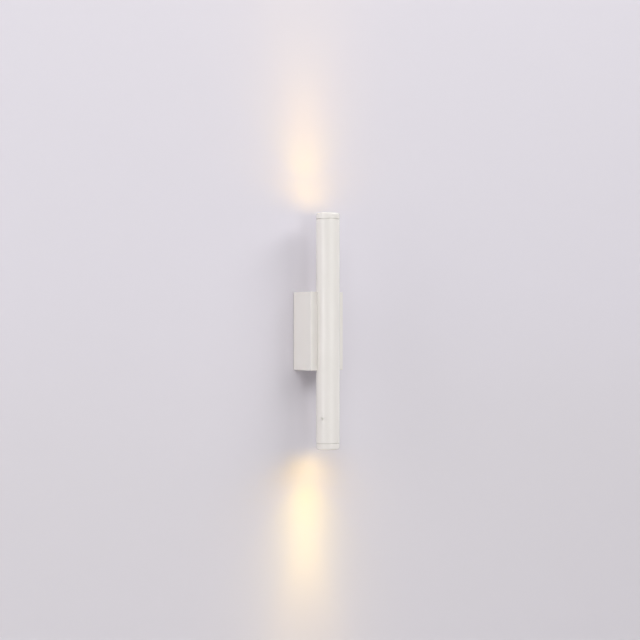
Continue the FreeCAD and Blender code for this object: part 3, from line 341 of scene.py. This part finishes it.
# Each finish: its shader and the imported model's sub-parts that wear it.
FINISHES = {
    "satin_white_coat": (powder_coat, ["tube_body", "base_housing"]),
    "white_grub_screws": (plastic(rgb(222, 219, 212), rgb(228, 225, 218), 0.38), ["grub_screws"]),
    "galvanised_sheet": (galvanised, ["wall_bracket"]),
    "zinc_screws": (ZINC, ["earth_screw", "earth_washer", "cover_screws", "clamp_screws",
                           "terminal_block_screws", "driver_screws", "tube_screws", "tube_washers",
                           "led_board_screws"]),
    "tinned_lug": (metal(rgb(188, 184, 178), rgb(214, 210, 204), 0.3), ["earth_lug"]),
    "grey_rubber": (plastic(rgb(70, 71, 74), rgb(84, 85, 88), 0.62), ["cable_bush", "lead_grommet"]),
    "earth_insulation": (earth_stripes, ["earth_lead"]),
    "live_insulation": (plastic(rgb(116, 74, 46), rgb(128, 82, 52), 0.42), ["live_lead"]),
    "neutral_insulation": (plastic(rgb(58, 110, 172), rgb(66, 120, 182), 0.42), ["neutral_lead"]),
    "red_insulation": (plastic(rgb(178, 38, 34), rgb(190, 46, 40), 0.42), ["red_led_leads"]),
    "black_insulation": (plastic(rgb(34, 34, 36), rgb(44, 44, 46), 0.42), ["black_led_leads"]),
    "block_nylon": (plastic(rgb(226, 224, 214), rgb(234, 232, 224), 0.42), ["terminal_block"]),
    "clamp_brass": (metal(rgb(196, 160, 92), rgb(214, 182, 116), 0.25), ["terminal_clamps"]),
    "driver_plastic": (plastic(rgb(222, 222, 220), rgb(230, 230, 228), 0.5), ["driver_case", "driver_lid"]),
    "driver_board": (circuit_board(rgb(18, 84, 44), rgb(58, 132, 78)), ["driver_board"]),
    "ferrite": (plastic(rgb(52, 52, 54), rgb(70, 69, 68), 0.55), ["driver_transformer"]),
    "capacitor_sleeve": (plastic(rgb(30, 36, 62), rgb(38, 46, 76), 0.28), ["driver_capacitors"]),
    "chip_black": (plastic(rgb(30, 30, 32), rgb(40, 40, 42), 0.5), ["driver_chips"]),
    "bare_aluminium": (ALUMINIUM, ["tube_bar", "upper_heat_sink", "lower_heat_sink"]),
    "pad_silicone": (plastic(rgb(150, 160, 170), rgb(164, 172, 180), 0.6),
                     ["upper_thermal_pad", "lower_thermal_pad"]),
    "led_board": (circuit_board(rgb(236, 236, 230), rgb(224, 222, 212)),
                  ["upper_led_board", "lower_led_board"]),
    "glowing_chip": (chip_face, ["upper_led_chip", "lower_led_chip"]),
    "reflector_metal": (hammered, ["upper_reflector", "lower_reflector"]),
    "frosted_lens": (frosted_glass, ["upper_lens", "lower_lens"]),
    "seal_silicone": (plastic(rgb(214, 214, 210), rgb(224, 224, 220), 0.55),
                      ["upper_lens_gasket", "lower_lens_gasket"]),
}


def dress_nodes():
    for name, (shader, labels) in FINISHES.items():
        material = finish(name, shader)
        for label in labels:
            for slot in NODES[label].material_slots:
                slot.material = material


# ---------------------------------------------------------------- surfaces

SHARP_EDGE = math.radians(32)
RING_SIDES = 192
ROUNDING_POINTS = 10
THREAD_STEP = THREAD_PITCH / 14
THREAD_FLAT = 0.12
RELIEF_RAMP = 0.25 * MM
OUTSIDE_STEP = 1.5 * MM
INSIDE_STEP = 3 * MM


def add(name, data):
    """An object of the scene that holds the data."""
    thing = bpy.data.objects.new(name, data)
    bpy.context.scene.collection.objects.link(thing)
    return thing


def mesh_from_grid(name, points, material):
    """A closed surface: points is (rows, columns, 3), and both directions run round to their start."""
    rows, columns = points.shape[:2]
    spot = np.arange(rows * columns).reshape(rows, columns)
    after_row, after_column = np.roll(spot, -1, 0), np.roll(spot, -1, 1)
    faces = np.stack([spot, after_column, np.roll(after_row, -1, 1), after_row], -1).reshape(-1, 4)
    mesh = bpy.data.meshes.new(name)
    mesh.from_pydata(points.reshape(-1, 3), [], faces)
    mesh.update()
    mesh.shade_smooth()
    mesh.set_sharp_from_angle(angle=SHARP_EDGE)
    mesh.materials.append(material)
    return add(name, mesh)


def along(corners, step):
    """Points along straight runs from corner to corner, no further apart than step; ends are left out."""
    runs = []
    for start, end in zip(corners, corners[1:]):
        start, end = np.array(start), np.array(end)
        count = max(1, math.ceil(np.linalg.norm(end - start) / step))
        runs.append(start + (end - start) * (np.arange(count) / count)[:, None])
    return np.concatenate(runs)


def thread_depth(height, angle):
    """How far the surface lies under the crest at a height and an angle about the axis.

    A right-hand helix: with turns = height / pitch - angle / full turn, the flanks are a triangle wave of
    turns with its crests and roots cut flat. The depth is full in the relief at the shoulder, and at the
    tail it follows a bevel.
    """
    turns = height / THREAD_PITCH - angle / (2 * math.pi)
    wave = np.abs(2 * (turns - np.floor(turns)) - 1)
    flank = np.clip((wave - THREAD_FLAT) / (1 - 2 * THREAD_FLAT), 0, 1)
    relief = np.clip((height - (SHOULDER - THREAD_RELIEF)) / RELIEF_RAMP, 0, 1)
    bevel = np.clip((RING_TAIL + THREAD_LEAD_IN - height) / THREAD_LEAD_IN, 0, 1)
    return THREAD_DEPTH * np.maximum(np.maximum(flank, relief), bevel)


def end_ring_surface(name, side, material):
    """A ring turned from a closed outline, with a helical thread on its spigot.

    The outline of (radius, height) pairs goes up the outside, round the outer end, and down through the
    mouth and the lens pocket. Each pair is turned about the tube axis; on the spigot the radius is the
    crest radius less thread_depth(height, angle).
    """
    spigot = along([(THREAD_CREST, RING_TAIL), (THREAD_CREST, SHOULDER)], THREAD_STEP)
    quarter = np.linspace(0, math.pi / 2, ROUNDING_POINTS)
    rounding = np.stack([TUBE_RADIUS - RING_ROUND * (1 - np.cos(quarter)),
                         LAMP_END - RING_ROUND * (1 - np.sin(quarter))], -1)
    outside = along([(SEAM_FLOOR, SHOULDER), (SEAM_FLOOR, SHOULDER + SEAM_GAP),
                     (TUBE_RADIUS - SEAM_CHAMFER, SHOULDER + SEAM_GAP),
                     (TUBE_RADIUS, SHOULDER + SEAM_GAP + SEAM_CHAMFER),
                     (TUBE_RADIUS, LAMP_END - RING_ROUND)], OUTSIDE_STEP)
    inside = along([(MOUTH_RADIUS + MOUTH_CHAMFER, LAMP_END), (MOUTH_RADIUS, LAMP_END - MOUTH_CHAMFER),
                    (MOUTH_RADIUS, LENS_TOP), (POCKET_RADIUS, LENS_TOP), (POCKET_RADIUS, RING_TAIL),
                    (THREAD_CREST - THREAD_DEPTH, RING_TAIL)], INSIDE_STEP)
    shoulder = np.array([[THREAD_CREST - THREAD_DEPTH, SHOULDER]])
    outline = np.concatenate([spigot, shoulder, outside, rounding, inside])
    angle = np.linspace(0, 2 * math.pi, RING_SIDES, endpoint=False)
    radius = np.repeat(outline[:, :1], len(angle), 1)
    height = np.repeat(outline[:, 1:], len(angle), 1)
    cut = thread_depth(height, np.broadcast_to(angle, height.shape) * side)
    threaded = np.arange(len(outline))[:, None] < len(spigot)
    radius = np.where(threaded, radius - cut, radius)
    points = np.stack([AXIS.x + radius * np.cos(angle), AXIS.y + radius * np.sin(angle), side * height], -1)
    if side > 0:
        points = points[::-1]
    piece = mesh_from_grid(name, points, material)
    drill_key_holes(piece, side)
    return piece


def drill_key_holes(piece, side):
    """Two blind holes in the ring's face for a pin key, cut with closed many-sided pins.

    A pin's wall runs along the angles of a circle of KEY_RADIUS about (KEY_CIRCLE or -KEY_CIRCLE, AXIS.y),
    from KEY_SINK under the ring's face to KEY_SINK over it, and one face closes each end.
    """
    angle = np.linspace(0, 2 * math.pi, KEY_SIDES, endpoint=False) * side
    middle = np.array([KEY_CIRCLE, -KEY_CIRCLE])[:, None, None]
    height = side * (LAMP_END + np.array([-KEY_SINK, KEY_SINK]))[:, None]
    points = np.stack(np.broadcast_arrays(
        middle + KEY_RADIUS * np.cos(angle), AXIS.y + KEY_RADIUS * np.sin(angle), height), -1)
    spot = np.arange(points.size // 3).reshape(points.shape[:3])
    under, over = spot[:, 0], spot[:, 1]
    walls = np.stack([under, np.roll(under, -1, 1), np.roll(over, -1, 1), over], -1).reshape(-1, 4)
    mesh = bpy.data.meshes.new("key_pins")
    mesh.from_pydata(points.reshape(-1, 3), [], [*walls.tolist(), *under[:, ::-1].tolist(), *over.tolist()])
    pins = add("key_pins", mesh)
    cut = piece.modifiers.new("key_holes", "BOOLEAN")
    cut.operation, cut.object, cut.solver = "DIFFERENCE", pins, "EXACT"
    depsgraph = bpy.context.evaluated_depsgraph_get()
    drilled = bpy.data.meshes.new_from_object(piece.evaluated_get(depsgraph))
    piece.modifiers.clear()
    piece.data = drilled
    bpy.data.objects.remove(pins)


def make_rings():
    material = finish("coated_ring", ring_metal)
    for end, side in (("upper", 1), ("lower", -1)):
        ring = end_ring_surface(end + "_threaded_ring", side, material)
        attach(ring, end + "_ring")
        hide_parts(end + "_end_ring")


# ---------------------------------------------------------------- wall, floor, light and camera

WALL_COLOUR = rgb(216, 212, 219)
# Painted shade: the wall's colour below the lamp, a touch darker and less blue than above it.
WALL_SHADED_COLOUR = rgb(214, 210, 215)
FLOOR_COLOUR = rgb(226, 225, 228)
FLOOR_SHADE = rgb(222, 221, 224)
BACKGROUND = rgb(226, 225, 229)
WHITE = (1.0, 1.0, 1.0, 1.0)
WALL_PLANE = 0.3 * MM
WALL_HALF_WIDTH = 1.25
WALL_TOP = 1.2
FLOOR_HEIGHT = -1.3
FLOOR_HALF_WIDTH = 8.0
WALL_HOLE = (24.2 * MM, 49.2 * MM)
FADE_START, FADE_END = 0.8, 2.6
AMBIENT = 0.14


def flat_stage(name, points, faces, material):
    mesh = bpy.data.meshes.new(name)
    mesh.from_pydata(points, [], faces)
    mesh.materials.append(material)
    piece = add(name, mesh)


def rectangle(left, right, painted_shade, high):
    """The four corners of a rectangle, one after the other round it."""
    return np.array([(left, painted_shade), (right, painted_shade), (right, high), (left, high)])


def shown_rays(paint):
    """Above 0 for a ray from the camera or by way of gloss or glass."""
    path = paint.node("LightPath").socket.node.outputs
    return (Signal(paint, path["Is Camera Ray"]) + Signal(paint, path["Is Glossy Ray"])
            + Signal(paint, path["Is Transmission Ray"]))


def wall_paint(paint):
    """Matt paint with painted shade low down: below the lamp it is a touch darker and less blue than above
    it.
    """
    _, _, up = paint.parts_of(paint.place())
    painted_shade = paint.ease(up + paint.noise(0.4, 1.0) * 0.1, 0.15, -0.15)
    return {"Base Color": paint.blend(painted_shade, WALL_COLOUR, WALL_SHADED_COLOUR),
            "Roughness": 0.85,
            "Normal": paint.bump(paint.noise(3 * MM), 0.02 * MM)}


def mix_over(material, overlay):
    """Mix another shader over a material's own: overlay(paint) gives the share and that shader."""
    paint = Paint(material.node_tree)
    share, other = overlay(paint)
    surface = Signal(paint, material.node_tree.nodes["Principled BSDF"].outputs[0])
    paint.feed(material.node_tree.nodes["Material Output"].inputs["Surface"],
               paint.node("MixShader", sockets={0: share, 1: surface, 2: other}))


def clear_from_behind(paint):
    seen = paint.node("LightPath", output="Is Camera Ray")
    behind = paint.node("NewGeometry", output="Backfacing")
    return seen * behind, paint.node("BsdfTransparent")


def far_background(paint):
    across, depth, _ = paint.parts_of(paint.place())
    far = paint.ease((across * across + depth * depth) ** 0.5, FADE_START, FADE_END)
    return far * (shown_rays(paint) > 0.5), paint.node("Emission", sockets={"Color": BACKGROUND})


def make_wall():
    """A wall with a hole behind the box, as the cable needs, and clear to a camera that stands behind it."""
    material = finish("wall_paint", wall_paint)
    mix_over(material, clear_from_behind)
    wide, high = WALL_HOLE
    outer = rectangle(-WALL_HALF_WIDTH, WALL_HALF_WIDTH, FLOOR_HEIGHT, WALL_TOP)
    inner = rectangle(-wide, wide, -high, high)
    points = np.insert(np.concatenate([outer, inner]), 1, WALL_PLANE, axis=1)
    corner = np.arange(4)
    after = np.roll(corner, -1)
    flat_stage("wall", points, np.stack([corner, after, after + 4, corner + 4], -1), material)


def floor_paint(paint):
    return {"Base Color": paint.blend(paint.noise(0.3), FLOOR_COLOUR, FLOOR_SHADE),
            "Roughness": 0.8}


def make_floor():
    """A floor that fades into the background where the lamps no longer reach it."""
    material = finish("floor_paint", floor_paint)
    mix_over(material, far_background)
    side = FLOOR_HALF_WIDTH
    points = np.insert(rectangle(-side, side, -side, side), 2, FLOOR_HEIGHT, axis=1)
    flat_stage("floor", points, np.arange(4)[None], material)


def aim(thing, place, target):
    thing.location = place
    thing.rotation_euler = (Vector(target) - Vector(place)).to_track_quat("-Z", "Y").to_euler()


def on_sphere(azimuth, elevation, distance):
    """A place round the lamp: azimuth in degrees from straight in front of the wall, to the right."""
    turn, rise = math.radians(azimuth), math.radians(elevation)
    level = math.cos(rise)
    return Vector((math.sin(turn) * level, -math.cos(turn) * level, math.sin(rise))) * distance


def lamp(name, kind, energy, colour=(1, 1, 1), **settings):
    data = bpy.data.lights.new(name, kind)
    data.energy, data.color = energy, colour
    for setting, number in settings.items():
        setattr(data, setting, number)
    light = add(name, data)
    light.visible_camera = False
    return light


# Soft boxes: azimuth and elevation in degrees, distance, width and height in metres, and the light that
# each throws on a surface that faces it.
SOFTBOXES = (
    ("key_softbox", 43, 36, 5.0, 3.8, 2.2, 0.58),
    ("top_softbox", 0, 54, 2.3, 0.9, 0.7, 0.11),
    ("left_softbox", -40, 36, 3.0, 1.2, 1.4, 0.24),
    ("front_softbox", -3, 8, 3.0, 1.0, 2.2, 0.15),
    ("side_softbox", -80, 13, 2.6, 0.8, 2.2, 0.36),
    ("rear_softbox", 180, 20, 2.0, 2.4, 1.6, 0.45))


def make_studio():
    """Soft boxes in front of the wall, and one behind it for the views from there."""
    for name, azimuth, elevation, distance, wide, high, level in SOFTBOXES:
        energy = level * (math.pi * distance) ** 2
        light = lamp(name, "AREA", energy, shape="RECTANGLE", size=wide, size_y=high)
        aim(light, on_sphere(azimuth, elevation, distance), (0, 0, 0))


LIGHT_PLANE = 149.6 * MM
LENS_GLOW_WIDTH = 18 * MM
BEAM_SOURCE = 2 * MM
GLOW_TINT = (1.0, 0.66, 0.08)

# Light of each end: its side, how far off the axis it shines, the glow of the whole lens in watts, and
# the cones as half angle in degrees, watts and colour.
BEAMS = {
    "upper": (1, -8 * MM, 0.014, ((22, 0.60, (1.0, 0.70, 0.09)),
                                  (30, 0.30, (1.0, 0.44, 0.0)),
                                  (44, 0.30, (1.0, 0.64, 0.0)),
                                  (80, 0.07, (1.0, 0.58, 0.03)))),
    "lower": (-1, -6 * MM, 0.017, ((22, 1.60, (1.0, 0.62, 0.03)),
                                   (30, 0.82, (1.0, 0.74, 0.20)),
                                   (44, 0.52, (1.0, 0.72, 0.05)),
                                   (80, 0.11, (1.0, 0.62, 0.0))))}


def shine_out(beam, end, side, shift=0.0):
    """Put a light in the mouth of one end, aimed outwards, so that it rides with the lens."""
    place = Vector((AXIS.x + shift, AXIS.y, side * LIGHT_PLANE))
    aim(beam, place, place + Vector((0, 0, side)))
    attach(beam, end + "_lens_carrier")


def make_beams():
    """Warm light out of both mouths: an even glow and cones of light inside each other."""
    for end, (side, shift, glow, cones) in BEAMS.items():
        lens_glow = lamp(end + "_lens_glow", "AREA", glow, GLOW_TINT, shape="DISK", size=LENS_GLOW_WIDTH)
        shine_out(lens_glow, end, side)
        for half, watts, colour in cones:
            cone = lamp("%s_beam_%d" % (end, half), "SPOT", watts, colour,
                        spot_size=math.radians(2 * half), spot_blend=1.0, shadow_soft_size=BEAM_SOURCE)
            shine_out(cone, end, side, shift)


def make_world():
    """Even light from all round; the camera, gloss and glass see the pale background."""
    world = bpy.data.worlds.new("studio")
    bpy.context.scene.world = world
    world.use_nodes = True
    paint = Paint(world.node_tree)
    shown = shown_rays(paint)
    background = world.node_tree.nodes["Background"]
    paint.feed(background.inputs["Color"], paint.blend(shown > 0.5, WHITE, BACKGROUND))
    paint.feed(background.inputs["Strength"], (shown > 0.5) * (1 - AMBIENT) + AMBIENT)


# The photograph's camera stands to the left of the lamp, a little above its middle.
VIEW_AZIMUTH = -34.15
VIEW_DISTANCE = 1.489
CAMERA_HEIGHT = 4 * MM
CAMERA_LENS = 64.3
SENSOR_WIDTH = 36.0
CLIP_NEAR, CLIP_FAR = 0.05, 30
AIM_RIGHT = 0.53
AIM_UP = 0.40


def make_camera():
    data = bpy.data.cameras.new("camera")
    data.lens, data.sensor_width = CAMERA_LENS, SENSOR_WIDTH
    data.clip_start, data.clip_end = CLIP_NEAR, CLIP_FAR
    camera = add("camera", data)
    place = on_sphere(VIEW_AZIMUTH, 0, VIEW_DISTANCE)
    camera.location = (place.x, place.y, CAMERA_HEIGHT)
    camera.rotation_euler = Euler((math.radians(90 + AIM_UP), 0, math.radians(VIEW_AZIMUTH - AIM_RIGHT)))
    bpy.context.scene.camera = camera


dress_nodes()
make_rings()
make_wall()
make_floor()
make_studio()
make_beams()
make_world()
make_camera()
bpy.context.scene.view_settings.view_transform = "Standard"
